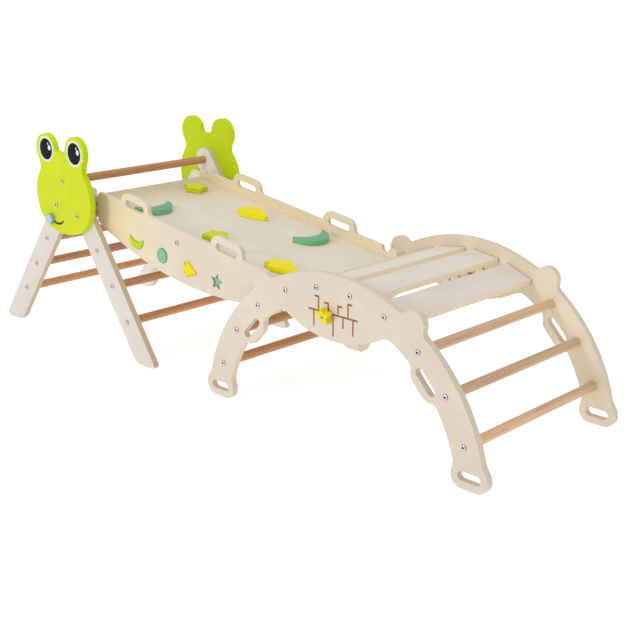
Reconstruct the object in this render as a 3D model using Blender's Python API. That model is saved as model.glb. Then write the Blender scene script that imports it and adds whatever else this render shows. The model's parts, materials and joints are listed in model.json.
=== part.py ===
"""A wooden climbing and slide set for toddlers, in metres, +Z up, +X from the triangle to the arch.

A folding triangle with two frog faces, an arch of slats and rungs, and a ramp that hooks over
one rung of each. The origin is on the floor, under the middle of the whole set. The sides of
every unit lie in planes of constant Y, and the set is symmetric about Y = 0 apart from the
puzzle in the ramp's near side.
"""

import math

import bmesh
import bpy

# Stock
PLY = 0.018  # thickness of the legs, faces and arch sides
RAMP_PLY = 0.012  # thickness of the ramp's sides
RUNG_RADIUS = 0.0125
GAP = 0.0003  # between pieces that touch
THROUGH = 0.01  # how far a cutter runs past the face that it enters
TOLERANCE = 0.00012  # how far a flat facet may stray from the true outline
STRIDE = 0.0008  # between the points where an outline is sampled

# Widths, from the middle plane
SIDE_Y = 0.275  # outer faces of the arch's sides
LEG_Y = 0.273  # outer faces of the triangle's legs
FACE_Y = LEG_Y + PLY  # outer faces of the frog faces
RAMP_Y = 0.2226  # outer faces of the ramp's sides
RAMP_ASIDE = -0.003  # the ramp hangs a little to the near side

# Triangle
APEX_X = -0.5840
APEX_Z = 0.501
RUNG_PITCH = 0.116
FRONT_LEAN = math.radians(-34.3)
REAR_LEAN = math.radians(37.3)
LEG_HALF = 0.038
PIVOT_DOWN = 0.040  # from the top bar, along the front legs
PIVOT_BEHIND = 2 * LEG_HALF + 0.001  # behind the front legs' middle line, so both pairs lie side by side
REAR_FIRST_RUNG = 0.1535  # from the pivot to the first rear rung
LEG_CORNER = 0.022

# Arch
ARCH_X = 0.5021
ARC_Z = -0.046  # height of the middle of the arc
ARC_RADIUS = 0.4245  # the line of the rungs
ARC_HALF = 0.0395
SLAT_STEP = math.radians(14.8)
FIRST_RUNG_ANGLE = math.radians(38.1)
RUNG_STEP = math.radians(15.9)
SLAT_WIDTH = 0.084
SLAT_THICKNESS = 0.015
BELLY_LOW = 0.2525
BELLY_RADIUS = 0.320
EAR_ANGLE = math.radians(31.7)
EAR_RADIUS = 0.033
GRIP_ANGLE = math.radians(46.8)
GRIP_RADIUS = 0.3915  # the middle line of the grip slots
GRIP_SLOT_HALF = 0.0262
GRIP_SLOT_RADIUS = 0.0108
GRIP_BUMP_HALF = 0.019
GRIP_BUMP_RADIUS = 0.031
FOOT_INNER = 0.3945
FOOT_OUTER = 0.4360
FOOT_RADIUS = 0.0305
FOOT_SLOT_RADIUS = 0.0115

# Maze in the arch's sides, from the arch's middle
MAZE_Z = 0.320
MAZE_HALF = 0.0785
MAZE_SLOT = 0.0024  # half the slot's width
MAZE_STEP = 0.016  # between the branches
MAZE_MIDDLE = 0.0015
MAZE_HOOK = 0.0115
MAZE_DROPS = (-0.0385, -0.018, -0.0530, -0.0265, -0.0385)  # every second branch goes down
MAZE_RISES = (0.035, 0.024, 0.024, 0.035)  # the others go up, and hook away from the middle
STAR_X = -0.014
STAR_KNOB = 0.0218
STAR_TIP = math.radians(92)
STAR_THICKNESS = 0.018
STAR_DISC = 0.008  # radius of the disc behind the slot
STAR_STANDOFF = 0.0055
STAR_LOW = 0.0012  # the middle of the star hangs below its stem
STAR_DROOP = math.radians(12)  # the star is loose on its stem, and its outer face hangs low

# Ramp, in its own frame: u runs from the upper hook to the lower, v is square to it
DECK_TOP = 0.041
DECK_THICKNESS = 0.015
DECK_BEYOND = 0.043  # past each hook
SIDE_TOP = 0.070
BELLY_V = -0.077
RAMP_BELLY_RADIUS = 1.255
NOSE_BEYOND = 0.044
NOSE_CORNER = 0.019
HOOK_RADIUS = RUNG_RADIUS + 0.002
HOOK_PLAY = -0.0015  # where the ramp hangs along the slope, within the hooks' clearance
TOP_NOTCH_V = 0.0665
TOP_NOTCH_RADIUS = 0.013
HANDLE_FROM_MIDDLE = 0.199
HANDLE_V = 0.0755
HANDLE_HALF = 0.034
HANDLE_RADIUS = 0.0295
HANDLE_SLOT_HALF = 0.0315
HANDLE_SLOT_RADIUS = 0.011
HOLD_HEIGHT = 0.016

# Puzzle in the near side of the ramp
PUZZLE_V = -0.027
PUZZLE_STEP = 0.1175
PUZZLE_MIDDLE = -0.003  # from the ramp's middle
BLOCK_GAP = 0.0007
BLOCK_PROUD = 0.0035
STAR_PROUD = -0.0035  # the star has slipped in below the surface
BACKING = 0.003
BACKING_LOW = -0.029  # edges of the backing, from the middle of the cut-outs
BACKING_HIGH = 0.031
BACKING_BEYOND = 0.050  # past the middles of the end cut-outs

# Frog faces, from the top bar
FACE_ASIDE = -0.005
FACE_TILT = math.radians(1.2)
HEAD_Z = -0.050
HEAD_HALF_WIDTH = 0.1394
HEAD_HALF_HEIGHT = 0.1112
HEAD_FULLNESS = 2.16  # 2 would be an ellipse
EYE_X = 0.0745
EYE_Z = 0.088
EYE_RADIUS = 0.048
BROW_Z = 0.085  # the bottom of the notch between the eyes
BROW_HALF = 0.030
BROW_RADIUS = 0.040
CHEEK_BLEND = 0.040
MOUTH_X = -0.0397
MOUTH_Z = -0.0917
MOUTH_RADIUS = 0.042
MOUTH_HALF_ANGLE = math.radians(43.5)
MOUTH_SLOT = 0.0034  # half the slot's width
MOUTH_TRACK = 0.0082  # half the width of the track behind the slot
TRACK_DEPTH = 0.0065
FLOWER_RADIUS = 0.0168
FLOWER_THICKNESS = 0.012
FLOWER_STANDOFF = 0.001
SLIDER_DISC = 0.004  # thickness of the disc that keeps a knob in its slot

# Fasteners
BOLT_RADIUS = 0.003
BOLT_CLEARANCE = 0.0003
BOLT_BITE = 0.018  # how far a bolt goes into a rung's end
HEAD_RADIUS = 0.007
HEAD_HEIGHT = 0.003
SOCKET_RADIUS = 0.0026
SOCKET_DEPTH = 0.0017
NUT_RADIUS = 0.0065
NUT_HEIGHT = 0.005


# ---------------------------------------------------------------- materials


def painted(name, colour, roughness, metallic=0.0):
    material = bpy.data.materials.new(name)
    material.use_nodes = True
    shader = material.node_tree.nodes["Principled BSDF"]
    shader.inputs["Base Color"].default_value = (*colour, 1)
    shader.inputs["Roughness"].default_value = roughness
    shader.inputs["Metallic"].default_value = metallic
    return material


# ---------------------------------------------------------------- outlines
# A field gives how far a point lies outside a flat shape, and is negative inside it.


def disc(x0, z0, radius):
    return lambda x, z: math.hypot(x - x0, z - z0) - radius


def capsule(xa, za, xb, zb, radius):
    dx, dz = xb - xa, zb - za
    length_squared = dx * dx + dz * dz

    def field(x, z):
        along = ((x - xa) * dx + (z - za) * dz) / length_squared
        along = min(max(along, 0), 1)
        return math.hypot(x - xa - along * dx, z - za - along * dz) - radius

    return field


def half_plane(x0, z0, nx, nz):
    """The side of a line away from its normal."""
    return lambda x, z: (x - x0) * nx + (z - z0) * nz


def soft_union(blend, *fields):
    """The shapes joined, with their inner corners filled to about the blend's radius."""

    def field(x, z):
        low = fields[0](x, z)
        for other in fields[1:]:
            value = other(x, z)
            share = max(blend - abs(low - value), 0) / blend
            low = min(low, value) - share * share * blend / 4
        return low

    return field


def soft_overlap(blend, *fields):
    """Where all the shapes overlap, with outer corners rounded to about the blend's radius."""
    joined = soft_union(blend, *[negative(f) for f in fields])
    return negative(joined)


def negative(field):
    return lambda x, z: -field(x, z)


def mirrored(field, middle=0.0):
    return lambda x, z: field(abs(x - middle), z)


def settle(field, x, z):
    """The nearest point of the outline, and the direction out of the shape there."""
    probe = 1e-6
    for _ in range(6):
        value = field(x, z)
        slope_x = (field(x + probe, z) - field(x - probe, z)) / (2 * probe)
        slope_z = (field(x, z + probe) - field(x, z - probe)) / (2 * probe)
        steepness = math.hypot(slope_x, slope_z) or 1.0
        x -= value * slope_x / steepness**2
        z -= value * slope_z / steepness**2
        if abs(value) < 1e-8:
            break
    return x, z, slope_x / steepness, slope_z / steepness


def traced(field, start):
    """The outline of a field as points, close together only where it turns."""
    x, z, nx, nz = settle(field, *start)
    points = [(x, z)]
    travelled = 0.0
    while travelled < 4 * STRIDE or math.hypot(x - points[0][0], z - points[0][1]) > STRIDE:
        x, z, nx, nz = settle(field, x - nz * STRIDE, z + nx * STRIDE)
        travelled += STRIDE
        points.append((x, z))
    return thinned(points + points[:1])[:-1]


def thinned(points):
    """The fewest of the points whose straight chords stay within the tolerance of all of them."""
    kept = [points[0]]
    start = 0
    while start < len(points) - 1:
        end = start + 1
        while end + 1 < len(points) and strays(points, start, end + 1) < TOLERANCE:
            end += 1
        kept.append(points[end])
        start = end
    return kept


def strays(points, start, end):
    """The furthest that the points between two others lie from the line between those two."""
    (xa, za), (xb, zb) = points[start], points[end]
    length = math.hypot(xb - xa, zb - za) or 1.0
    between = points[start + 1:end]
    return max(abs((x - xa) * (zb - za) - (z - za) * (xb - xa)) / length for x, z in between)


def arc(x0, z0, radius, start, end, steps):
    angles = [start + (end - start) * i / steps for i in range(steps + 1)]
    return [(x0 + radius * math.cos(a), z0 + radius * math.sin(a)) for a in angles]


def circle(x0, z0, radius, sides=16):
    return arc(x0, z0, radius, 0, 2 * math.pi, sides)[:-1]


def slot(xa, za, xb, zb, radius, steps=8):
    heading = math.atan2(zb - za, xb - xa)
    far_end = arc(xb, zb, radius, heading - math.pi / 2, heading + math.pi / 2, steps)
    near_end = arc(xa, za, radius, heading + math.pi / 2, heading + 3 * math.pi / 2, steps)
    return far_end + near_end


def star(radius, inner, tip=math.pi / 2):
    points = []
    for i in range(10):
        reach = inner if i % 2 else radius
        angle = tip + i * math.pi / 5
        points.append((reach * math.cos(angle), reach * math.sin(angle)))
    return points


def crescent(outer, inner, apart, outer_half, inner_half):
    """A moon that opens towards -x, about the middle of its outer arc."""
    back = arc(0, 0, outer, -outer_half, outer_half, 18)
    hollow = arc(-apart, 0, inner, inner_half, -inner_half, 12)
    return back + hollow


def tree(scale):
    """A fir of two tiers that points towards +x, about the middle of its length."""
    half = [(0, 0.029), (0.016, 0.017), (0.023, 0.042), (0.095, 0.006)]
    upper = [((x - 0.048) * scale, z * scale) for x, z in half]
    lower = [(x, -z) for x, z in reversed(upper)]
    return upper + lower


def flower(radius, petals=8, steps=6):
    points = []
    for i in range(petals * steps):
        angle = 2 * math.pi * i / (petals * steps)
        reach = radius * (0.91 + 0.09 * math.cos(petals * angle))
        points.append((reach * math.cos(angle), reach * math.sin(angle)))
    return points


def placed(points, x0, z0, turn=0.0, scale=1.0):
    c, s = math.cos(turn) * scale, math.sin(turn) * scale
    return [(x0 + c * x - s * z, z0 + s * x + c * z) for x, z in points]


def inset(points, distance):
    """A closed outline moved inwards by a distance."""
    count = len(points)
    area = sum(points[i - 1][0] * points[i][1] - points[i][0] * points[i - 1][1] for i in range(count))
    inward = math.copysign(distance, area)
    moved = []
    for i in range(count):
        (xa, za), (xb, zb), (xc, zc) = points[i - 1], points[i], points[(i + 1) % count]
        before, after = math.hypot(xb - xa, zb - za), math.hypot(xc - xb, zc - zb)
        nx, nz = -(zb - za) / before - (zc - zb) / after, (xb - xa) / before + (xc - xb) / after
        size = (nx * nx + nz * nz) / 2
        moved.append((xb + nx * inward / size, zb + nz * inward / size))
    return moved


# ---------------------------------------------------------------- solids


def finished(name, mesh, material, parent):
    body = bmesh.new()
    body.from_mesh(mesh)
    bmesh.ops.recalc_face_normals(body, faces=body.faces)
    body.to_mesh(mesh)
    body.free()
    mesh.shade_smooth()
    mesh.set_sharp_from_angle(angle=math.radians(32))
    obj = bpy.data.objects.new(name, mesh)
    bpy.context.scene.collection.objects.link(obj)
    if material:
        mesh.materials.append(material)
    obj.parent = parent
    return obj


def prism_mesh(name, prisms):
    """Flat shapes in x and z, each given with its lowest and highest y, as one mesh."""
    vertices, faces = [], []
    for points, low, high in prisms:
        count, base = len(points), len(vertices)
        vertices += [(x, low, z) for x, z in points]
        vertices += [(x, high, z) for x, z in points]
        faces.append([base + i for i in range(count)])
        faces.append([base + count + i for i in range(count)])
        for i in range(count):
            j = (i + 1) % count
            faces.append([base + i, base + j, base + count + j, base + count + i])
    mesh = bpy.data.meshes.new(name)
    mesh.from_pydata(vertices, [], faces)
    return mesh


def plate(name, points, low, high, material, parent=None):
    return finished(name, prism_mesh(name, [(points, low, high)]), material, parent)


def cut(target, *prisms):
    """Takes the prisms, given in the target's own frame, out of it."""
    name = target.name + "_cutter"
    cutter = finished(name, prism_mesh(name, prisms), None, target.parent)
    cutter.location = target.location
    cutter.rotation_euler = target.rotation_euler
    cutter.hide_render = True
    cutter.display_type = "WIRE"
    modifier = target.modifiers.new("cut", "BOOLEAN")
    modifier.operation = "DIFFERENCE"
    modifier.solver = "EXACT"
    modifier.object = cutter


def turned(name, rings, material, parent=None, sides=32):
    """A body turned about the y axis from rings of (radius, y). A negative radius is a hexagon's."""
    vertices, faces = [], []
    for radius, y in rings:
        for i in range(sides):
            angle = 2 * math.pi * i / sides
            reach = radius if radius > 0 else hexagon_reach(-radius, angle)
            vertices.append((reach * math.cos(angle), y, reach * math.sin(angle)))
    for ring in range(len(rings) - 1):
        for i in range(sides):
            a, b = ring * sides + i, ring * sides + (i + 1) % sides
            faces.append([a, b, b + sides, a + sides])
    faces.append(list(range(sides)))
    faces.append([(len(rings) - 1) * sides + i for i in range(sides)])
    mesh = bpy.data.meshes.new(name)
    mesh.from_pydata(vertices, [], faces)
    return finished(name, mesh, material, parent)


def hexagon_reach(apothem, angle):
    sixth = math.pi / 3
    return apothem / math.cos((angle + sixth / 2) % sixth - sixth / 2)


def at(obj, x, y, z):
    obj.location = (x, y, z)
    return obj


def frame(name, x, z, turn):
    """An empty at a point of the middle plane, turned about y, for the pieces of one unit."""
    empty = bpy.data.objects.new(name, None)
    bpy.context.scene.collection.objects.link(empty)
    empty.location = (x, 0, z)
    empty.rotation_euler = (0, turn, 0)
    return empty


def sides_of(near_low, near_high):
    """The two mirrored y ranges of a part, by side."""
    return (("near", -1, near_low, near_high), ("far", 1, -near_high, -near_low))


def rung(name, side_y, material, parent, x, z):
    """A dowel that fits between the inner faces of two sides whose outer faces are at side_y."""
    half_length = side_y - PLY - GAP
    ends = [(RUNG_RADIUS, -half_length), (RUNG_RADIUS, half_length)]
    return at(turned(name, ends, material, parent, sides=28), x, 0, z)


def bolt(name, head_y, shank, outward, material, x, z):
    """A pan-head bolt with a hexagon socket, its head outward from head_y."""
    rings = [
        (BOLT_RADIUS, head_y - outward * shank),
        (BOLT_RADIUS, head_y + outward * GAP),
        (HEAD_RADIUS, head_y + outward * GAP),
        (HEAD_RADIUS, head_y + outward * HEAD_HEIGHT * 0.55),
        (HEAD_RADIUS * 0.8, head_y + outward * HEAD_HEIGHT),
        (-SOCKET_RADIUS, head_y + outward * HEAD_HEIGHT),
        (-SOCKET_RADIUS, head_y + outward * (HEAD_HEIGHT - SOCKET_DEPTH)),
    ]
    return at(turned(name, rings, material, sides=24), x, 0, z)


# ---------------------------------------------------------------- triangle


def along_front(distance):
    return (APEX_X - distance * math.sin(FRONT_LEAN), APEX_Z - distance * math.cos(FRONT_LEAN))


def pivot_point():
    x, z = along_front(PIVOT_DOWN)
    return x - PIVOT_BEHIND * math.cos(FRONT_LEAN), z + PIVOT_BEHIND * math.sin(FRONT_LEAN)


def leg_outline(top_z, lean):
    """A bar with a round top and a foot cut level with the floor."""
    bar = capsule(0, 0, 0, -1, LEG_HALF)
    floor = half_plane(0, -top_z / math.cos(lean), math.sin(lean), -math.cos(lean))
    return traced(soft_overlap(LEG_CORNER, bar, floor), (LEG_HALF, -0.1))


def bolt_hole(x, z):
    return circle(x, z, BOLT_RADIUS + BOLT_CLEARANCE)


def through(holes, low, high):
    """The prisms that take holes right through a plate."""
    return [(hole, low - THROUGH, high + THROUGH) for hole in holes]


def build_front_ladder(wood, dowel):
    unit = frame("front_ladder", APEX_X, APEX_Z, FRONT_LEAN)
    outline = leg_outline(APEX_Z, FRONT_LEAN)
    for side, _, low, high in sides_of(-LEG_Y, -LEG_Y + PLY):
        leg = plate(f"front_leg_{side}", outline, low, high, wood, unit)
        holes = [bolt_hole(0, -RUNG_PITCH * i) for i in (0, 1)]
        cut(leg, *through(holes, low, high))
    inner = LEG_Y - PLY
    for i in range(5):
        name = f"front_rung_{i}" if i else "top_bar"
        bar = rung(name, LEG_Y, dowel, unit, 0, -RUNG_PITCH * i)
        if i < 2:
            deepest = inner - BOLT_BITE - 0.005
            for low, high in ((-inner - THROUGH, -deepest), (deepest, inner + THROUGH)):
                cut(bar, (bolt_hole(0, 0), low, high))


def build_rear_ladder(wood, dowel):
    x, z = pivot_point()
    unit = frame("rear_ladder", x, z, REAR_LEAN)
    outline = leg_outline(z, REAR_LEAN)
    for side, _, low, high in sides_of(-LEG_Y, -LEG_Y + PLY):
        leg = plate(f"rear_leg_{side}", outline, low, high, wood, unit)
        cut(leg, *through([bolt_hole(0, 0)], low, high))
    for i in range(3):
        rung(f"rear_rung_{i + 1}", LEG_Y, dowel, unit, 0, -REAR_FIRST_RUNG - RUNG_PITCH * i)


def frog_field():
    def head(x, z):
        up = z - HEAD_Z
        spread = (abs(x) / HEAD_HALF_WIDTH) ** HEAD_FULLNESS + (abs(up) / HEAD_HALF_HEIGHT) ** HEAD_FULLNESS
        return math.hypot(x, up) * (1 - spread ** (-1 / HEAD_FULLNESS))

    eyes = [disc(side * EYE_X, EYE_Z, EYE_RADIUS) for side in (-1, 1)]
    brow = capsule(-BROW_HALF, BROW_Z - BROW_RADIUS, BROW_HALF, BROW_Z - BROW_RADIUS, BROW_RADIUS)
    return soft_union(0.007, soft_union(CHEEK_BLEND, head, *eyes), brow)


def mouth_arc(radius):
    down = -math.pi / 2
    return arc(MOUTH_X, MOUTH_Z, radius, down - MOUTH_HALF_ANGLE, down + MOUTH_HALF_ANGLE, 16)


def mouth_groove(half_width):
    """An arc-shaped slot with round ends."""
    middle_line = mouth_arc(MOUTH_RADIUS)
    left, right = middle_line[0], middle_line[-1]
    start, end = -math.pi / 2 - MOUTH_HALF_ANGLE, -math.pi / 2 + MOUTH_HALF_ANGLE
    outer = mouth_arc(MOUTH_RADIUS + half_width)
    right_end = arc(*right, half_width, end, end + math.pi, 6)
    inner = list(reversed(mouth_arc(MOUTH_RADIUS - half_width)))
    left_end = arc(*left, half_width, start + math.pi, start + 2 * math.pi, 6)
    return outer + right_end[1:-1] + inner + left_end[1:-1]


def build_frog_faces(paint, petal, steel):
    upright = traced(frog_field(), (0, HEAD_Z - HEAD_HALF_HEIGHT))
    outline = placed(placed(upright, FACE_ASIDE, 0), 0, 0, FACE_TILT)
    pivot_x, pivot_z = pivot_point()
    rung_x, rung_z = along_front(RUNG_PITCH)
    bolts = ((APEX_X, APEX_Z), (pivot_x, pivot_z), (rung_x, rung_z))
    holes = [bolt_hole(x - APEX_X, z - APEX_Z) for x, z in bolts]
    knob_x, knob_z = mouth_arc(MOUTH_RADIUS)[0]
    for side, outward, low, high in sides_of(-FACE_Y, -LEG_Y - GAP):
        front, back = (low, high) if outward < 0 else (high, low)
        face = at(plate(f"frog_face_{side}", outline, low, high, paint), APEX_X, 0, APEX_Z)
        track = sorted((back - outward * THROUGH, back + outward * TRACK_DEPTH))
        cut(face, *through(holes + [mouth_groove(MOUTH_SLOT)], low, high))
        cut(face, (mouth_groove(MOUTH_TRACK), *track))
        build_mouth_knob(side, front, back, outward, petal, steel, knob_x, knob_z)


def build_mouth_knob(side, front, back, outward, petal, steel, x, z):
    inside = front + outward * FLOWER_STANDOFF
    outside = inside + outward * FLOWER_THICKNESS
    low, high = sorted((inside, outside))
    knob = plate(f"mouth_knob_{side}", flower(FLOWER_RADIUS), low, high, petal)
    at(knob, APEX_X + x, 0, APEX_Z + z)
    disc_back = back + outward * (TRACK_DEPTH - SLIDER_DISC - 0.001)
    disc_front = disc_back + outward * SLIDER_DISC
    disc_radius, stem = MOUTH_TRACK - 0.0012, MOUTH_SLOT - 0.0005
    tip = inside - outward * GAP
    rings = [(disc_radius, disc_back), (disc_radius, disc_front), (stem, disc_front), (stem, tip)]
    at(turned(f"mouth_slider_{side}", rings, steel, sides=20), APEX_X + x, 0, APEX_Z + z)


def build_triangle_bolts(steel):
    pivot_x, pivot_z = pivot_point()
    rung_x, rung_z = along_front(RUNG_PITCH)
    for side, outward, _, _ in sides_of(-FACE_Y, -LEG_Y):
        head_y = outward * FACE_Y
        bolt(f"top_bar_bolt_{side}", head_y, 2 * PLY + BOLT_BITE, outward, steel, APEX_X, APEX_Z)
        bolt(f"rung_bolt_{side}", head_y, 2 * PLY + BOLT_BITE, outward, steel, rung_x, rung_z)
        bolt(f"pivot_bolt_{side}", head_y, 2 * PLY + NUT_HEIGHT + 0.001, outward, steel, pivot_x, pivot_z)
        inner = outward * (LEG_Y - PLY)
        low, high = sorted((inner - outward * NUT_HEIGHT, inner - outward * GAP))
        nut = turned(f"pivot_nut_{side}", [(NUT_RADIUS, low), (NUT_RADIUS, high)], steel, sides=24)
        cut(at(nut, pivot_x, 0, pivot_z), *through([bolt_hole(0, 0)], low, high))


# ---------------------------------------------------------------- arch


def arc_point(angle, radius=ARC_RADIUS):
    """A point of the arch at an angle from upright, from the arch's middle."""
    return radius * math.sin(angle), ARC_Z + radius * math.cos(angle)


def tangent_ends(angle, radius, half_length):
    """The two ends of a straight line square to the arch's radius."""
    x, z = arc_point(angle, radius)
    dx, dz = half_length * math.cos(angle), -half_length * math.sin(angle)
    return x - dx, z - dz, x + dx, z + dz


def arch_side_outline():
    outside = disc(0, ARC_Z, ARC_RADIUS + ARC_HALF)
    hollow = disc(0, ARC_Z, ARC_RADIUS - ARC_HALF)
    ring = soft_overlap(1e-4, outside, negative(hollow), half_plane(0, FOOT_RADIUS, 0, -1))
    foot = capsule(FOOT_INNER, FOOT_RADIUS, FOOT_OUTER, FOOT_RADIUS, FOOT_RADIUS)
    ear = disc(*arc_point(EAR_ANGLE, ARC_RADIUS + ARC_HALF), EAR_RADIUS)
    grip = capsule(*tangent_ends(GRIP_ANGLE, GRIP_RADIUS, GRIP_BUMP_HALF), GRIP_BUMP_RADIUS)
    belly = soft_overlap(1e-4, disc(0, BELLY_LOW + BELLY_RADIUS, BELLY_RADIUS), disc(0, ARC_Z, ARC_RADIUS))
    field = soft_union(0.014, ring, foot, ear, grip, belly)
    return traced(mirrored(field), (0, ARC_Z + ARC_RADIUS + ARC_HALF))


def maze_field():
    bars = [capsule(-MAZE_HALF, MAZE_Z, MAZE_HALF, MAZE_Z, MAZE_SLOT)]
    for i, drop in enumerate(MAZE_DROPS):
        x = MAZE_MIDDLE + (2 * i - 4) * MAZE_STEP
        bars.append(capsule(x, MAZE_Z, x, MAZE_Z + drop, MAZE_SLOT))
    for i, rise in enumerate(MAZE_RISES):
        x = MAZE_MIDDLE + (2 * i - 3) * MAZE_STEP
        end = MAZE_Z + rise
        bars.append(capsule(x, MAZE_Z, x, end, MAZE_SLOT))
        bars.append(capsule(x, end, x + math.copysign(MAZE_HOOK, x), end, MAZE_SLOT))
    return soft_union(0.0008, *bars)


def build_arch_sides(wood):
    outline = arch_side_outline()
    maze = traced(maze_field(), (MAZE_HALF + MAZE_SLOT, MAZE_Z))
    grip = tangent_ends(GRIP_ANGLE, GRIP_RADIUS, GRIP_SLOT_HALF)
    foot = (FOOT_INNER, FOOT_RADIUS, FOOT_OUTER, FOOT_RADIUS)
    holes = [maze]
    for mirror in (-1, 1):
        for (xa, za, xb, zb), radius in ((grip, GRIP_SLOT_RADIUS), (foot, FOOT_SLOT_RADIUS)):
            holes.append(slot(mirror * xa, za, mirror * xb, zb, radius))
    for side, _, low, high in sides_of(-SIDE_Y, -SIDE_Y + PLY):
        panel = at(plate(f"arch_side_{side}", outline, low, high, wood), ARCH_X, 0, 0)
        cut(panel, *through(holes, low, high))


def build_arch_rungs(wood, dowel):
    half = SLAT_WIDTH / 2
    thick = SLAT_THICKNESS / 2
    inner = SIDE_Y - PLY - GAP
    section = [(-half, -thick), (half, -thick), (half, thick), (-half, thick)]
    for i in range(4):
        angle = (i - 1.5) * SLAT_STEP
        x, z = arc_point(angle, ARC_RADIUS + 0.001)
        slat = plate(f"arch_slat_{i + 1}", section, -inner, inner, wood)
        at(slat, ARCH_X + x, 0, z).rotation_euler = (0, angle, 0)
    for side, mirror in (("left", -1), ("right", 1)):
        for i in range(3):
            x, z = arc_point(mirror * (FIRST_RUNG_ANGLE + RUNG_STEP * i))
            rung(f"arch_rung_{side}_{i + 1}", SIDE_Y, dowel, None, ARCH_X + x, z)


def build_maze_stars(paint, steel):
    for side, outward, _, _ in sides_of(-SIDE_Y, -SIDE_Y + PLY):
        inside = outward * (SIDE_Y + STAR_STANDOFF)
        low, high = sorted((0, outward * STAR_THICKNESS))
        outline = placed(star(STAR_KNOB, STAR_KNOB * 0.55, STAR_TIP), 0, -STAR_LOW)
        knob = plate(f"maze_star_{side}", outline, low, high, paint)
        at(knob, ARCH_X + STAR_X, inside, MAZE_Z).rotation_euler = (-outward * STAR_DROOP, 0, 0)
        disc_front = outward * (SIDE_Y - PLY - 0.0008)
        disc_back = disc_front - outward * SLIDER_DISC
        stem = MAZE_SLOT - 0.0005
        tip = inside - outward * (GAP + stem * math.tan(STAR_DROOP))
        rings = [(STAR_DISC, disc_back), (STAR_DISC, disc_front), (stem, disc_front), (stem, tip)]
        at(turned(f"maze_slider_{side}", rings, steel, sides=20), ARCH_X + STAR_X, 0, MAZE_Z)


# ---------------------------------------------------------------- ramp


def hook_points():
    """The middles of the two rungs that the ramp hangs on."""
    upper = along_front(RUNG_PITCH)
    x, z = arc_point(-FIRST_RUNG_ANGLE)
    return upper, (ARCH_X + x, z)


def ramp_line():
    """The ramp's length between its hooks, and how far it turns down from level."""
    (xa, za), (xb, zb) = hook_points()
    return math.hypot(xb - xa, zb - za), math.atan2(za - zb, xb - xa)


def ramp_side_outline(middle):
    belly = disc(0, BELLY_V + RAMP_BELLY_RADIUS, RAMP_BELLY_RADIUS)
    top = half_plane(0, SIDE_TOP, 0, 1)
    end = half_plane(middle + NOSE_BEYOND, 0, 1, 0)
    bar = soft_overlap(NOSE_CORNER, belly, top, end)
    near_end, far_end = HANDLE_FROM_MIDDLE - HANDLE_HALF, HANDLE_FROM_MIDDLE + HANDLE_HALF
    handle = capsule(near_end, HANDLE_V, far_end, HANDLE_V, HANDLE_RADIUS)
    body = soft_union(0.012, bar, handle)
    top_notch = capsule(middle, TOP_NOTCH_V, middle, 0.3, TOP_NOTCH_RADIUS)
    hook = capsule(middle, 0, middle, -0.3, HOOK_RADIUS)
    field = soft_overlap(0.007, body, negative(top_notch), negative(hook))
    return traced(mirrored(field, middle), (middle, BELLY_V))


def puzzle_shapes(middle):
    """The four cut-outs by name, each with its middle along the ramp and its outline."""
    turn_up = math.pi / 2
    puzzle_moon = crescent(0.033, 0.042, 0.032, math.radians(97), math.radians(48.5))
    shapes = (
        ("moon", placed(puzzle_moon, -0.001, 0.013, -turn_up, 0.95)),
        ("disc", circle(0, 0, 0.022, 28)),
        ("tree", placed(tree(0.57), 0.0055, -0.0015)),
        ("star", placed(star(0.0238, 0.0122), -0.0005, 0.004)),
    )
    places = {}
    for i, (name, outline) in enumerate(shapes):
        places[name] = (middle + PUZZLE_MIDDLE + (i - 1.5) * PUZZLE_STEP, outline)
    return places


def build_ramp_sides(unit, middle, wood):
    outline = ramp_side_outline(middle)
    slots = []
    for mirror in (-1, 1):
        u = middle + mirror * HANDLE_FROM_MIDDLE
        left, right = u - HANDLE_SLOT_HALF, u + HANDLE_SLOT_HALF
        slots.append(slot(left, HANDLE_V, right, HANDLE_V, HANDLE_SLOT_RADIUS))
    for side, outward, low, high in sides_of(-RAMP_Y, -RAMP_Y + RAMP_PLY):
        panel = plate(f"ramp_side_{side}", outline, low, high, wood, unit)
        holes = list(slots)
        if outward < 0:
            holes += [placed(shape, u, PUZZLE_V) for u, shape in puzzle_shapes(middle).values()]
        cut(panel, *through(holes, low, high))


def build_puzzle(unit, middle, wood, paints):
    shapes = puzzle_shapes(middle)
    back = -RAMP_Y + RAMP_PLY
    ends = [u for u, _ in shapes.values()]
    low_u, high_u = min(ends) - BACKING_BEYOND, max(ends) + BACKING_BEYOND
    low, high = PUZZLE_V + BACKING_LOW, PUZZLE_V + BACKING_HIGH
    strip = [(low_u, low), (high_u, low), (high_u, high), (low_u, high)]
    plate("puzzle_backing", strip, back + GAP, back + GAP + BACKING, wood, unit)
    for name, (u, shape) in shapes.items():
        proud = STAR_PROUD if name == "star" else BLOCK_PROUD
        block = plate(f"puzzle_{name}", inset(shape, BLOCK_GAP), -RAMP_Y - proud, back, paints[name], unit)
        at(block, u, 0, PUZZLE_V)


def build_deck(unit, length, wood):
    low = DECK_TOP - DECK_THICKNESS
    end = length + DECK_BEYOND
    section = [(-DECK_BEYOND, low), (end, low), (end, DECK_TOP), (-DECK_BEYOND, DECK_TOP)]
    half = RAMP_Y - RAMP_PLY - GAP
    plate("ramp_deck", section, -half, half, wood, unit)


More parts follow.
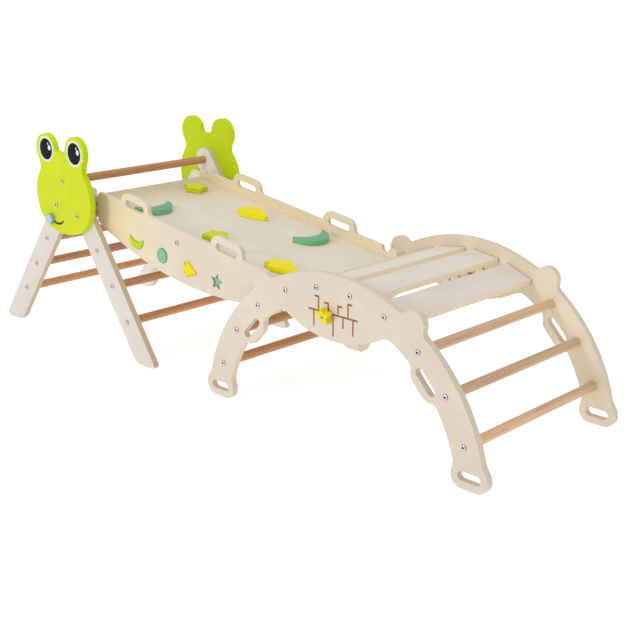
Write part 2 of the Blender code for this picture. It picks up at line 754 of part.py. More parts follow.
def build_holds(unit, lime, green, yellow):
    """Climbing holds on the deck: outline, place along the ramp, place across it and colour."""
    moon = placed(crescent(0.0625, 0.080, 0.055, math.radians(88), math.radians(45.5)), 0.008, -0.005)
    holds = (
        ("hold_star_upper", star(0.040, 0.025, math.pi / 2), 0.0635, 0.107, lime),
        ("hold_moon_upper", moon, 0.131, -0.130, green),
        ("hold_tree_upper", tree(1.0), 0.3385, 0.112, yellow),
        ("hold_star_lower", star(0.040, 0.025, -math.pi / 2), 0.4315, -0.1235, lime),
        ("hold_moon_lower", moon, 0.5445, 0.1125, green),
        ("hold_tree_lower", tree(1.0), 0.7035, -0.1205, yellow),
    )
    for name, outline, u, across, paint in holds:
        hold = plate(name, outline, DECK_TOP + GAP, DECK_TOP + HOLD_HEIGHT, paint, unit)
        at(hold, u, across, 0).rotation_euler = (math.pi / 2, 0, 0)


def build_ramp(wood, deck_wood, paints):
    length, slope = ramp_line()
    (x, z), _ = hook_points()
    unit = frame("ramp", x + HOOK_PLAY * math.cos(slope), z - HOOK_PLAY * math.sin(slope), slope)
    unit.location.y = RAMP_ASIDE
    build_ramp_sides(unit, length / 2, wood)
    build_deck(unit, length, deck_wood)
    build_puzzle(unit, length / 2, wood, paints)
    build_holds(unit, paints["moon"], paints["disc"], paints["tree"])


# ---------------------------------------------------------------- the whole set


def main():
    for obj in list(bpy.data.objects):
        bpy.data.objects.remove(obj)
    birch = painted("birch_plywood", (0.74, 0.62, 0.47), 0.55)
    pale_birch = painted("pale_birch_plywood", (0.70, 0.64, 0.54), 0.55)
    beech = painted("beech", (0.47, 0.24, 0.10), 0.5)
    lime = painted("lime_paint", (0.62, 0.75, 0.03), 0.45)
    green = painted("green_paint", (0.24, 0.52, 0.32), 0.45)
    yellow = painted("yellow_paint", (0.90, 0.80, 0.01), 0.45)
    blue = painted("pale_blue_paint", (0.48, 0.61, 0.70), 0.45)
    steel = painted("zinc_steel", (0.70, 0.72, 0.74), 0.3, 1.0)
    build_front_ladder(pale_birch, beech)
    build_rear_ladder(pale_birch, beech)
    build_frog_faces(lime, blue, steel)
    build_triangle_bolts(steel)
    build_arch_sides(birch)
    build_arch_rungs(pale_birch, beech)
    build_maze_stars(yellow, steel)
    build_ramp(birch, pale_birch, {"moon": lime, "disc": green, "tree": yellow, "star": green})
    bpy.context.view_layer.update()


main()
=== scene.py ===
"""The looks of the wooden climbing set: eased edges, birch plywood, beech, satin paint, screws and prints."""

import json
import math

import bmesh
import bpy
from mathutils import Euler, Matrix, Vector

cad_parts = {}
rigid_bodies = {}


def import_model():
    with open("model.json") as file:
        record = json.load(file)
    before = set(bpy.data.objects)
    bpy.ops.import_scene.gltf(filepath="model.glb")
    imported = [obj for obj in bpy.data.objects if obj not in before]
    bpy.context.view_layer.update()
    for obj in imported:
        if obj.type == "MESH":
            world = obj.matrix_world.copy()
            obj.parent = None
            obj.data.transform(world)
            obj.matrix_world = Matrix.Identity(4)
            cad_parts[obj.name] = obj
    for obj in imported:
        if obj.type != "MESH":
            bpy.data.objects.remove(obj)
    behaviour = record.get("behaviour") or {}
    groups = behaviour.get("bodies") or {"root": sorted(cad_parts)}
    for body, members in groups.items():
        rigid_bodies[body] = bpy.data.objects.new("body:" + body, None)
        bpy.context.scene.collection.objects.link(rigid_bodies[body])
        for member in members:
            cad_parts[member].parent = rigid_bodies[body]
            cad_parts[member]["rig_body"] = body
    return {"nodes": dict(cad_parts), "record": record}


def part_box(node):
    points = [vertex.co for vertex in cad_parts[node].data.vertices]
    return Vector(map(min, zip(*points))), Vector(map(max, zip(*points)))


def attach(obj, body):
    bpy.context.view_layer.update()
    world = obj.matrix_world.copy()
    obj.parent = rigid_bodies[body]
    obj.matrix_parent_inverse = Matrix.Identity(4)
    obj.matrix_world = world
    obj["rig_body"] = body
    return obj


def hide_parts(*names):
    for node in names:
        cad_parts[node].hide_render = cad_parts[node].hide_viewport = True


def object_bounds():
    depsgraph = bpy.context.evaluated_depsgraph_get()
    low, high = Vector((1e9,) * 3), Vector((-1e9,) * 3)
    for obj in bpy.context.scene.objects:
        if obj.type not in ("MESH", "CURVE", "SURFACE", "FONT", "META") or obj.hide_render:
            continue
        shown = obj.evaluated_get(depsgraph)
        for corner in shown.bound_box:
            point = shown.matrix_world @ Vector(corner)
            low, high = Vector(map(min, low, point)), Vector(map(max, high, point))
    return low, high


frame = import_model()
CAD_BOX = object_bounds()
NODES = frame["nodes"]
SLOTS = {part["node"]: part["material_slot"] for part in frame["record"]["subparts"]}
SIDES = (("near", -1), ("far", 1))
PUZZLE = ("moon", "disc", "tree", "star")
X = Vector((1, 0, 0))
Y = Vector((0, 1, 0))

# Finishing the edges
WELD = 1e-6
FLAT = math.radians(0.3)
SHARP = math.radians(38)

# Rounding of the edges, from the thickest boards to thin sheet and metal
ROUND_FROG = 0.0020
ROUND_FRAME = 0.0018
ROUND_BOARD = 0.0014
ROUND_HOLD = 0.0011
ROUND_RUNG = 0.0010
ROUND_KNOB = 0.0009
ROUND_DECK = 0.0008
ROUND_BLOCK = 0.0006
ROUND_METAL = 0.0004
ROUND_BACKING = 0.0003

# Plywood: thickness in metres and number of veneers
PLY_18 = (0.018, 9)
PLY_15 = (0.015, 7)
PLY_12 = (0.012, 7)
PLY_3 = (0.003, 3)

# How strongly each kind of board shows its figure
ARCH_FIGURE = 0.45
LEG_FIGURE = 0.6
RAMP_FIGURE = 0.6
FLAT_FIGURE = 0.7

# Where the ramp's boards change from their warm tone to their usual one, along the ramp. The deck's other
# tone, darker and browner, is painted shade from the frog faces over its upper end.
RAMP_FADE = (0.0, 0.45)
DECK_SHADE_FADE = (-0.04, 0.22)
DECK_TOP = 0.041  # above the line between the ramp's hooks

# Screws
HEAD_RADIUS = 0.0068
HEAD_HEIGHT = 0.0034
SOCKET_RADIUS = 0.0028
SOCKET_DEPTH = 0.0024
SHANK_RADIUS = 0.003
SHANK = 0.002
SMALL_HEAD = 0.0046
SMALL_SHANK = 0.0015
SCREW_SIDES = 36
DECK_SCREW_REACH = 0.380  # from the middle screw to the end ones
DECK_SCREW_SHIFT = -0.004
DECK_SCREW_UP = 0.031

# Parts of the boards that a laser has browned, and the slats' ends, which get painted shade
MAZE_REACH = (0.090, 0.062)
PUZZLE_REACH = (0.038, 0.026)
MOUTH_REACH = (0.037, 0.020)
MOUTH_SHIFT = Vector((0.029, 0, -0.004))  # from the slider at rest to the middle of its slot
# how far from each slat's end the painted shade reaches
SLAT_SHADE_LENGTH = 0.0018
BURNT_SKIN = (0.0002, 0.0006)  # depth below a face over which the brown sets in

# Printed eyes: their middles from the top bar, and the highlights from an eye's middle
INK = 0.00012  # thickness of each print
PRINT_STEPS = 72
EYES = (("left", -0.0772, 0.0880), ("right", 0.0682, 0.0888))
WHITE_RADIUS = 0.0383
PUPIL_RADIUS = 0.0318
SHINE = (0.0180, 0.0050)
SHINE_RADII = (0.0070, 0.0078)
GLINT = (0.0118, 0.0165)
GLINT_RADII = (0.0024, 0.0042)
GLINT_TURN = 0.5


# ---------------------------------------------------------------- places, from the frame


def middle(name):
    """The middle of a piece's box."""
    low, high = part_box(name)
    return (low + high) / 2


def outer_y(name, outward):
    """The y of a piece's outer face."""
    low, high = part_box(name)
    return high.y if outward > 0 else low.y


def circle_centre(a, b, c):
    """The middle of the circle through three points of one upright plane."""
    (ax, az), (bx, bz), (cx, cz) = ((p.x, p.z) for p in (a, b, c))
    d = 2 * (ax * (bz - cz) + bx * (cz - az) + cx * (az - bz))
    aa, bb, cc = ax * ax + az * az, bx * bx + bz * bz, cx * cx + cz * cz
    x = (aa * (bz - cz) + bb * (cz - az) + cc * (az - bz)) / d
    z = (aa * (cx - bx) + bb * (ax - cx) + cc * (bx - ax)) / d
    return Vector((x, 0, z))


TOP_BAR = middle("top_bar")
UPPER_HOOK = middle("front_rung_1")
LOWER_HOOK = middle("arch_rung_left_1")
DOWN_RAMP = (LOWER_HOOK - UPPER_HOOK).normalized()
RAMP_UP = Vector((-DOWN_RAMP.z, 0, DOWN_RAMP.x))
RAMP_SPAN = (LOWER_HOOK - UPPER_HOOK).length
FRONT_LEG_DOWN = (middle("front_rung_4") - TOP_BAR).normalized()
REAR_LEG_DOWN = (middle("rear_rung_3") - middle("rear_rung_1")).normalized()
ARC_MIDDLE = circle_centre(*(middle(f"arch_rung_{rung}") for rung in ("left_1", "left_3", "right_1")))
MAZE = Vector((middle("arch_side_near").x, 0, middle("maze_slider_near").z))
MOUTH = middle("mouth_slider_near") + MOUTH_SHIFT


def on_ramp(along, up):
    """A point of the middle plane, from the upper hook along the ramp and square to it."""
    return UPPER_HOOK + DOWN_RAMP * along + RAMP_UP * up


# ---------------------------------------------------------------- node graphs


class Graph:
    """A material whose nodes are written in few words."""

    def __init__(self, name, roughness, **shader_values):
        self.material = bpy.data.materials.new(name)
        self.material.use_nodes = True
        self.tree = self.material.node_tree
        self.shader = self.tree.nodes["Principled BSDF"]
        self.set("Roughness", roughness)
        for socket, value in shader_values.items():
            self.set(socket.replace("_", " "), value)

    def put(self, socket, value):
        if isinstance(value, bpy.types.NodeSocket):
            self.tree.links.new(value, socket)
        else:
            socket.default_value = value

    def set(self, socket, value):
        self.put(self.shader.inputs[socket], value)

    def add(self, kind, inputs, **settings):
        node = self.tree.nodes.new("ShaderNode" + kind)
        for key, value in settings.items():
            setattr(node, key, value)
        for socket, value in inputs.items():
            self.put(node.inputs[socket], value)
        return node

    def math(self, operation, *values, clamp=False):
        node = self.add("Math", dict(enumerate(values)), operation=operation, use_clamp=clamp)
        return node.outputs[0]

    def times(self, first, second):
        return self.math("MULTIPLY", first, second)

    def mix(self, factor, first, second):
        return self.add("Mix", {0: factor, 6: first, 7: second}, data_type="RGBA").outputs[2]

    def spread(self, value, low, high, to_low=0.0, to_high=1.0):
        """A value's range from low to high stretched to another, with soft ends."""
        inputs = {0: value, 1: low, 2: high, 3: to_low, 4: to_high}
        return self.add("MapRange", inputs, interpolation_type="SMOOTHSTEP").outputs[0]

    def within(self, value, centre, half):
        """One where a value lies within half of a centre, and nothing elsewhere."""
        return self.math("COMPARE", value, centre, half)

    def noise(self, place, lengths, detail=3.0, roughness=0.5, distortion=0.0):
        """Noise whose features are about so many metres long each way."""
        inputs = {"Vector": place, "Scale": tuple(1 / length for length in lengths)}
        stretched = self.add("Mapping", inputs).outputs[0]
        inputs = {"Vector": stretched, "Scale": 1.0, "Detail": detail, "Roughness": roughness}
        inputs["Distortion"] = distortion
        return self.add("TexNoise", inputs).outputs[0]

    def bump(self, height, distance):
        made = self.add("Bump", {"Height": height, "Distance": distance, "Strength": 1.0})
        self.set("Normal", made.outputs[0])

    def object_place(self):
        return self.add("TexCoord", {}).outputs["Object"]

    def board_place(self, point, grain, inward):
        """Metres along the grain, across it and in from one face, at each point of a board."""
        turn = Matrix((grain, inward.cross(grain), inward))
        inputs = {"Vector": self.object_place(), "Location": -(turn @ point), "Rotation": turn.to_euler()}
        return self.add("Mapping", inputs).outputs[0]

    def parts(self, vector):
        return self.add("SeparateXYZ", {0: vector}).outputs

    def in_box(self, centre, half):
        """One inside an upright box round a point, seen along y, and nothing outside it."""
        x, _, z = self.parts(self.object_place())
        return self.times(self.within(x, centre.x, half[0]), self.within(z, centre.z, half[1]))


def colour(red, green, blue):
    return (red, green, blue, 1.0)


def tint(tone, red, green=None, blue=None):
    """A tone with its channels scaled, all alike unless three factors are given."""
    factors = (red, red if green is None else green, red if blue is None else blue)
    return colour(*(channel * factor for channel, factor in zip(tone, factors)))


# ---------------------------------------------------------------- materials

BURNT_EDGE = (colour(0.36, 0.20, 0.11), colour(0.54, 0.30, 0.17))
ZINC = (colour(0.50, 0.54, 0.59), colour(0.72, 0.76, 0.81))
# painted shade for the screws: the near-black low on a head's rim and in its socket
SCREW_RIM_SHADE = colour(0.07, 0.065, 0.06)


def veneer(graph, place, tone, figure):
    """Rotary-cut birch: broad wavy figure, thin streaks, silky cross bands and short pores."""
    broad = graph.noise(place, (0.55, 0.05, 0.05), 2, 0.5, 0.6)
    rings = graph.math("SINE", graph.times(broad, 75.0))
    streaks = graph.noise(place, (0.16, 0.0035, 0.0035), 4, 0.6)
    clouds = graph.noise(place, (0.30, 0.16, 0.16), 3, 0.55)
    silk = graph.noise(place, (0.012, 0.05, 0.05), 2, 0.6, 0.8)
    pores = graph.noise(place, (0.018, 0.0009, 0.0009), 2, 0.5)
    made = tone
    for pattern, low, high, amount, factors in (
        (clouds, 0.35, 0.65, 0.9, (0.93, 0.92, 0.90)),
        (rings, 0.2, 1.0, 0.22 * figure, (0.84, 0.77, 0.66)),
        (streaks, 0.48, 0.75, 0.30 * figure, (0.82, 0.74, 0.62)),
        (silk, 0.45, 0.7, 0.12, (1.12, 1.12, 1.12)),
        (pores, 0.66, 0.74, 0.30, (0.62, 0.50, 0.38)),
    ):
        made = graph.mix(graph.spread(pattern, low, high, 0, amount), made, tint(tone, *factors))
    return made, streaks, pores


def plywood(name, point, grain, inward, build, tones, figure=1.0, fade=None, burn_and_shade=None):
    """Lacquered birch plywood. Its veneers show wherever the surface lies between the two faces.

    The tones are the face's and the edge's. A fade, (start, end, tone), gives the face another tone up to a
    start along the board. The burn and shade, (mask, tone), browns what a laser has cut, or paints shade
    where parts meet, as at the slats' ends."""
    thickness, count = build
    tone, edge_tone = tones
    graph = Graph(name, 0.5, Coat_Weight=0.04, Coat_Roughness=0.35, Specular_IOR_Level=0.35)
    place = graph.board_place(point, grain, inward)
    along, _, depth = graph.parts(place)
    face, streaks, pores = veneer(graph, place, tone, figure)
    if fade:
        start, end, far_tone = fade
        other, _, _ = veneer(graph, place, far_tone, figure)
        face = graph.mix(graph.spread(along, start, end), other, face)
    wander = graph.noise(place, (0.07, 0.07, 0.02), 2)
    wander = graph.times(graph.math("SUBTRACT", wander, 0.5), 0.0007)
    depth = graph.math("ADD", depth, wander)
    from_middle = graph.math("ABSOLUTE", graph.math("SUBTRACT", depth, thickness / 2))
    below = graph.math("SUBTRACT", thickness / 2, from_middle)
    is_edge = graph.spread(below, 0.0008, 0.0015)
    edge, crossing, fibre = lamination(graph, place, depth, thickness / count, edge_tone)
    made = graph.mix(is_edge, face, edge)
    if burn_and_shade:
        mask, brown = burn_and_shade
        # laser browning on the maze and puzzle walls, painted shade at the slats' ends
        burn_and_shade_tone = graph.mix(graph.spread(fibre, 0.3, 0.7), tint(brown, 0.84), tint(brown, 1.16))
        made = graph.mix(graph.times(mask(graph, below), 0.92), made, burn_and_shade_tone)
    graph.set("Base Color", made)
    rough = graph.spread(streaks, 0.3, 0.8, 0.46, 0.60)
    graph.set("Roughness", graph.math("ADD", rough, graph.times(is_edge, 0.14)))
    height = graph.math("SUBTRACT", graph.times(streaks, 0.5), graph.spread(pores, 0.62, 0.74, 0, 0.5))
    height = graph.math("SUBTRACT", height, graph.times(graph.times(crossing, is_edge), 0.6))
    graph.bump(height, 0.00012)
    return graph.material


def lamination(graph, place, depth, veneer_thickness, tone):
    """A sawn plywood edge: veneers with the grain and across it by turns, and dark glue between."""
    phase = graph.math("FRACT", graph.math("DIVIDE", depth, veneer_thickness * 2))
    crossing = graph.times(graph.spread(phase, 0.47, 0.53), graph.spread(phase, 1.0, 0.96))
    from_glue = graph.math("ABSOLUTE", graph.math("SUBTRACT", phase, 0.5))
    glue = graph.spread(from_glue, 0.036, 0.0, 0.0, 0.55)
    fibre = graph.noise(place, (0.006, 0.006, 0.0012), 3, 0.7)
    light = graph.spread(fibre, 0.3, 0.7)
    end_grain = graph.mix(light, tint(tone, 0.78), tint(tone, 0.94))
    long_grain = graph.mix(light, tint(tone, 0.99), tint(tone, 1.10))
    edge = graph.mix(crossing, long_grain, end_grain)
    return graph.mix(glue, edge, tint(tone, 0.50)), crossing, fibre


def beech(name, tone):
    """A turned, lacquered dowel along y: fine dark flecks and long soft streaks."""
    graph = Graph(name, 0.4, Coat_Weight=0.08, Coat_Roughness=0.3, Specular_IOR_Level=0.35)
    place = graph.object_place()
    batch = graph.noise(place, (0.11, 1.2, 0.11), 1)
    streaks = graph.noise(place, (0.006, 0.22, 0.006), 4, 0.6, 0.4)
    lines = graph.noise(place, (0.0018, 0.10, 0.0018), 3, 0.6)
    flecks = graph.noise(place, (0.0010, 0.006, 0.0010), 2, 0.5)
    dark = tint(tone, 0.62, 0.52, 0.44)
    made = graph.mix(graph.spread(batch, 0.3, 0.7), tint(tone, 0.86), tint(tone, 1.14))
    for pattern, low, high, amount, shade in (
        (streaks, 0.42, 0.72, 0.60, dark),
        (lines, 0.50, 0.80, 0.40, dark),
        (flecks, 0.62, 0.70, 0.42, tint(dark, 0.7)),
    ):
        made = graph.mix(graph.spread(pattern, low, high, 0, amount), made, shade)
    graph.set("Base Color", made)
    graph.set("Roughness", graph.spread(streaks, 0.3, 0.7, 0.36, 0.50))
    height = graph.math("SUBTRACT", graph.times(lines, 0.5), graph.spread(flecks, 0.6, 0.7, 0, 0.5))
    graph.bump(height, 0.00010)
    return graph.material


def paint(name, tones, facing, gloss=0.42, burn_and_shade=None):
    """Satin paint rolled on wood, in one tone on the broad faces and another on the edges; the edge tone is
    partly the paint on the edge grain, partly painted light and shade on the edges.
    """
    tone, edge_tone = tones
    graph = Graph(name, gloss, Coat_Weight=0.03, Coat_Roughness=0.3, Specular_IOR_Level=0.12)
    place = graph.object_place()
    normal = graph.add("TexCoord", {}).outputs["Normal"]
    across = graph.add("VectorMath", {0: normal, 1: facing}, operation="DOT_PRODUCT").outputs["Value"]
    is_edge = graph.spread(graph.math("ABSOLUTE", across), 0.92, 0.35)
    roller = graph.noise(place, (0.05, 0.05, 0.05), 3, 0.6)
    peel = graph.noise(place, (0.0022, 0.0022, 0.0022), 2, 0.5)
    veins = graph.noise(place, (0.05, 0.05, 0.0030), 3, 0.6)
    top = graph.mix(graph.spread(roller, 0.35, 0.65), tint(tone, 0.975), tint(tone, 1.02))
    side = graph.mix(graph.spread(veins, 0.35, 0.65), tint(edge_tone, 0.94), tint(edge_tone, 1.04))
    # edges in their own tone: partly painted light and shade
    made = graph.mix(is_edge, top, side)
    if burn_and_shade:
        wood = graph.mix(graph.spread(peel, 0.3, 0.7), *BURNT_EDGE)
        cut = graph.times(graph.in_box(*burn_and_shade), graph.spread(is_edge, 0.5, 0.9))
        made = graph.mix(cut, made, wood)
    graph.set("Base Color", made)
    graph.set("Roughness", graph.spread(roller, 0.3, 0.7, gloss - 0.05, gloss + 0.07))
    height = graph.math("ADD", graph.times(peel, 0.6), graph.times(graph.times(veins, is_edge), 0.8))
    graph.bump(height, 0.00010)
    return graph.material


def steel(name, rim_shaded):
    """Bright zinc plate. With the rim shade, a screw's head is painted near-black low at its rim and in its
    socket: painted shade, as of a counterbore round the head.
    """
    graph = Graph(name, 0.3, Metallic=1.0)
    place = graph.object_place()
    cloud = graph.noise(place, (0.004, 0.004, 0.004), 3, 0.6)
    scratch = graph.noise(place, (0.0060, 0.0004, 0.0004), 2, 0.6)
    made = graph.mix(graph.spread(cloud, 0.35, 0.65), *ZINC)
    if rim_shaded:
        # painted shade: near-black low on the head and down in the socket
        _, height, _ = graph.parts(place)
        made = graph.mix(graph.spread(height, 0.0010, 0.0020), SCREW_RIM_SHADE, made)
    graph.set("Base Color", made)
    graph.set("Roughness", graph.spread(scratch, 0.3, 0.7, 0.20, 0.42))
    graph.bump(scratch, 0.00003)
    return graph.material


def ink(name, tone, gloss=0.5):
    """Matt printing ink with a fine grain."""
    graph = Graph(name, gloss, Specular_IOR_Level=0.06)
    place = graph.object_place()
    dots = graph.noise(place, (0.0008, 0.0008, 0.0008), 2, 0.5)
    cloud = graph.noise(place, (0.02, 0.02, 0.02), 2, 0.5)
    made = graph.mix(graph.spread(cloud, 0.3, 0.7), tint(tone, 0.97), tint(tone, 1.03))
    graph.set("Base Color", made)
    graph.set("Roughness", graph.spread(dots, 0.3, 0.7, gloss - 0.05, gloss + 0.05))
    graph.bump(dots, 0.00002)
    return graph.material


# ---------------------------------------------------------------- pieces


def cleaned(name):
    """A CAD node's surface with its facets joined into whole faces."""
    work = bmesh.new()
    work.from_mesh(NODES[name].data)
    bmesh.ops.remove_doubles(work, verts=work.verts, dist=WELD)
    bmesh.ops.dissolve_limit(work, angle_limit=FLAT, verts=work.verts, edges=work.edges)
    return work


def as_mesh(work, name, sharp, material):
    """A mesh with smooth faces, but for edges of more than so many degrees."""
    mesh = bpy.data.meshes.new(name)
    work.to_mesh(mesh)
    work.free()
    mesh.shade_smooth()
    mesh.set_sharp_from_angle(angle=math.radians(sharp))
    mesh.materials.append(material)
    return mesh


def placed(name, mesh, body):
    """A new piece that moves with a body."""
    piece = bpy.data.objects.new(name, mesh)
    bpy.context.scene.collection.objects.link(piece)
    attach(piece, body)
    return piece


def eased(name, material, width, segments=3, fine=None, fine_width=0.0004):
    """A finished copy of a CAD node with rounded edges, which stands for it.

    The edges that fine picks, such as those of narrow slots, get only a slight rounding."""
    work = cleaned(name)
    for is_fine, size, steps in ((True, fine_width, 1), (False, width, segments)):
        edges = [e for e in work.edges if e.calc_face_angle(0) > SHARP and bool(fine and fine(e)) == is_fine]
        if edges:
            bmesh.ops.bevel(work, geom=edges, offset=size, offset_type="OFFSET", segments=steps,
                            profile=0.5, affect="EDGES", clamp_overlap=True)
    new_name = name + "_finished"
    piece = placed(new_name, as_mesh(work, new_name, 50, material), NODES[name]["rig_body"])
    weighted = piece.modifiers.new("faces_stay_flat", "WEIGHTED_NORMAL")
    weighted.keep_sharp = True
    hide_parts(name)


def near_point(centre, half):
    """Picks the edges whose middles lie in an upright box round a point."""

    def test(edge):
        spot = (edge.verts[0].co + edge.verts[1].co) / 2
        return abs(spot.x - centre.x) < half[0] and abs(spot.z - centre.z) < half[1]

    return test


def between(work, lower, upper):
    """A band of faces between two rings of as many points."""
    count = len(lower)
    for i in range(count):
        j = (i + 1) % count
        work.faces.new((lower[i], lower[j], upper[j], upper[i]))


def closed(work, loops):
    """Rings of points joined into one closed body."""
    for lower, upper in zip(loops, loops[1:]):
        between(work, lower, upper)
    work.faces.new(loops[0])
    work.faces.new(loops[-1])
    bmesh.ops.recalc_face_normals(work, faces=work.faces)


# ---------------------------------------------------------------- boards and rungs

# Tones of each board's faces and edges. The far boards are the same birch as the near ones: their lighter
# tones are painted light.
ARCH_TONES = (colour(0.685, 0.6, 0.5), colour(0.74, 0.63, 0.48))
FAR_ARCH_LIT_TONES = (colour(0.77, 0.67, 0.52), colour(0.76, 0.65, 0.49))
SLAT_TONES = (colour(0.79, 0.72, 0.62), colour(0.9, 0.78, 0.57))
LEG_TONES = (colour(0.67, 0.615, 0.565), colour(0.60, 0.45, 0.29))
FAR_LEG_LIT_TONES = (colour(0.75, 0.695, 0.62), colour(0.62, 0.54, 0.40))
RAMP_TONES = (colour(0.71, 0.623, 0.5), colour(0.74, 0.66, 0.56))
RAMP_WARM = colour(0.80, 0.675, 0.43)
FAR_RAMP_LIT_TONES = (colour(0.85, 0.72, 0.51), colour(0.74, 0.66, 0.56))
FAR_RAMP_LIT_WARM = colour(0.84, 0.71, 0.47)
DECK_TONES = (colour(0.775, 0.715, 0.59), colour(0.74, 0.62, 0.45))
# darker and browner: painted shade at the deck's upper end
DECK_UPPER_SHADE = colour(0.665, 0.58, 0.39)
BACKING_TONES = (colour(0.74, 0.62, 0.46), colour(0.70, 0.55, 0.36))
DARK_BEECH = colour(0.545, 0.275, 0.127)
PALE_BEECH = colour(0.7, 0.457, 0.277)
MAZE_BROWN = colour(0.72, 0.42, 0.21)
# near-black painted shade at the slats' ends, where they meet the arch's sides
SLAT_END_SHADE = colour(0.13, 0.065, 0.033)
PUZZLE_BROWN = colour(0.30, 0.17, 0.09)


def in_maze(graph, below):
    """One on the walls of the maze's slots."""
    return graph.times(graph.in_box(MAZE, MAZE_REACH), graph.spread(below, *BURNT_SKIN))


def shade_at_slat_ends(graph, _):
    """One on the ends of the slats, which show in the slits of the arch's sides: painted shade in the gaps
    there.
    """
    _, y, _ = graph.parts(graph.object_place())
    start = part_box("arch_slat_1")[1].y - SLAT_SHADE_LENGTH
    return graph.spread(graph.math("ABSOLUTE", y), start - 0.0003, start)


def in_puzzle(graph, below):
    """One on the walls of the holes for the puzzle's blocks."""
    holes = [graph.in_box(middle(f"puzzle_{block}"), PUZZLE_REACH) for block in PUZZLE]
    any_hole = holes[0]
    for hole in holes[1:]:
        any_hole = graph.math("MAXIMUM", any_hole, hole)
    return graph.times(any_hole, graph.spread(below, *BURNT_SKIN))


def dress_arch():
    for side, outward in SIDES:
        name = f"arch_side_{side}"
        face = Vector((0, outer_y(name, outward), 0))
        # the far side gets lighter tones as painted light
        tones = FAR_ARCH_LIT_TONES if side == "far" else ARCH_TONES
        burn_and_shade = (in_maze, MAZE_BROWN)
        board = plywood(name + "_birch", face, X, Y * -outward, PLY_18, tones, ARCH_FIGURE, burn_and_shade=burn_and_shade)
        eased(name, board, ROUND_FRAME, fine=near_point(MAZE, MAZE_REACH))
    for i in range(4):
        name = f"arch_slat_{i + 1}"
        up = (middle(name) - ARC_MIDDLE).normalized()
        top = middle(name) + up * PLY_15[0] / 2
        # painted shade: the slats' ends darkened where they meet the arch's sides
        burn_and_shade = (shade_at_slat_ends, SLAT_END_SHADE)
        board = plywood(name + "_birch", top, Y, -up, PLY_15, SLAT_TONES, FLAT_FIGURE, burn_and_shade=burn_and_shade)
        eased(name, board, ROUND_BOARD)


def dress_ladders():
    for ladder, down in (("front", FRONT_LEG_DOWN), ("rear", REAR_LEG_DOWN)):
        for side, outward in SIDES:
            name = f"{ladder}_leg_{side}"
            face = Vector((0, outer_y(name, outward), 0))
            # the far legs get lighter, paler-edged tones as painted light
            tones = FAR_LEG_LIT_TONES if side == "far" else LEG_TONES
            board = plywood(name + "_birch", face, down, Y * -outward, PLY_18, tones, LEG_FIGURE)
            eased(name, board, ROUND_FRAME)


def dress_rungs():
    dark = beech("beech_dowel", DARK_BEECH)
    light = beech("pale_beech_dowel", PALE_BEECH)
    for name, slot in SLOTS.items():
        if slot == "beech":
            eased(name, light if "right" in name else dark, ROUND_RUNG, 2)


def dress_ramp():
    holes = [near_point(middle(f"puzzle_{block}"), PUZZLE_REACH) for block in PUZZLE]
    for side, outward in SIDES:
        name = f"ramp_side_{side}"
        face = on_ramp(0, 0) + Y * outer_y(name, outward)
        # the far side gets lighter tones as painted light
        tones, warm = (FAR_RAMP_LIT_TONES, FAR_RAMP_LIT_WARM) if side == "far" else (RAMP_TONES, RAMP_WARM)
        burn_and_shade = (in_puzzle, PUZZLE_BROWN) if side == "near" else None
        inward = Y * -outward
        fade = (*RAMP_FADE, warm)
        board = plywood(name + "_birch", face, DOWN_RAMP, inward, PLY_12, tones, RAMP_FIGURE, fade, burn_and_shade)
        eased(name, board, ROUND_BOARD, fine=lambda edge: any(hole(edge) for hole in holes))
    top = on_ramp(0, DECK_TOP)
    # painted shade: the deck's upper end darker and browner
    fade = (*DECK_SHADE_FADE, DECK_UPPER_SHADE)
    board = plywood("ramp_deck_birch", top, DOWN_RAMP, -RAMP_UP, PLY_15, DECK_TONES, FLAT_FIGURE, fade)
    eased("ramp_deck", board, ROUND_DECK)
    back = Vector((0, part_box("puzzle_backing")[0].y, 0))
    board = plywood("puzzle_backing_birch", back, DOWN_RAMP, Y, PLY_3, BACKING_TONES)
    eased("puzzle_backing", board, ROUND_BACKING, 1)


# ---------------------------------------------------------------- painted pieces

# Tones of each paint on the broad faces and on the edges. An edge tone is partly the paint on the edge grain
# and partly painted light and shade for how light falls on the edges.
FROG_LIME = (colour(0.57, 0.635, 0.008), colour(0.52, 0.72, 0.002))
# the near frog's lime, darker on the broad faces: painted shade on the far frog
FAR_FROG_SHADED_LIME = (colour(0.5, 0.64, 0.003), colour(0.52, 0.72, 0.002))
HOLD_LIME = (colour(0.6, 0.66, 0.032), colour(0.56, 0.65, 0.01))
BLOCK_LIME = (colour(0.5, 0.63, 0.002), colour(0.42, 0.56, 0.002))
GREEN = (colour(0.22, 0.475, 0.3), colour(0.12, 0.36, 0.18))
HOLD_GREEN = (colour(0.18, 0.42, 0.236), colour(0.19, 0.54, 0.25))
YELLOW = (colour(0.78, 0.665, 0.002), colour(0.8, 0.66, 0.002))
HOLD_YELLOW = (colour(0.86, 0.735, 0.014), colour(0.95, 0.86, 0.004))
# the flower knobs' teal edge tone is painted shade on their sides
BLUE = (colour(0.43, 0.53, 0.545), colour(0.2, 0.46, 0.4))


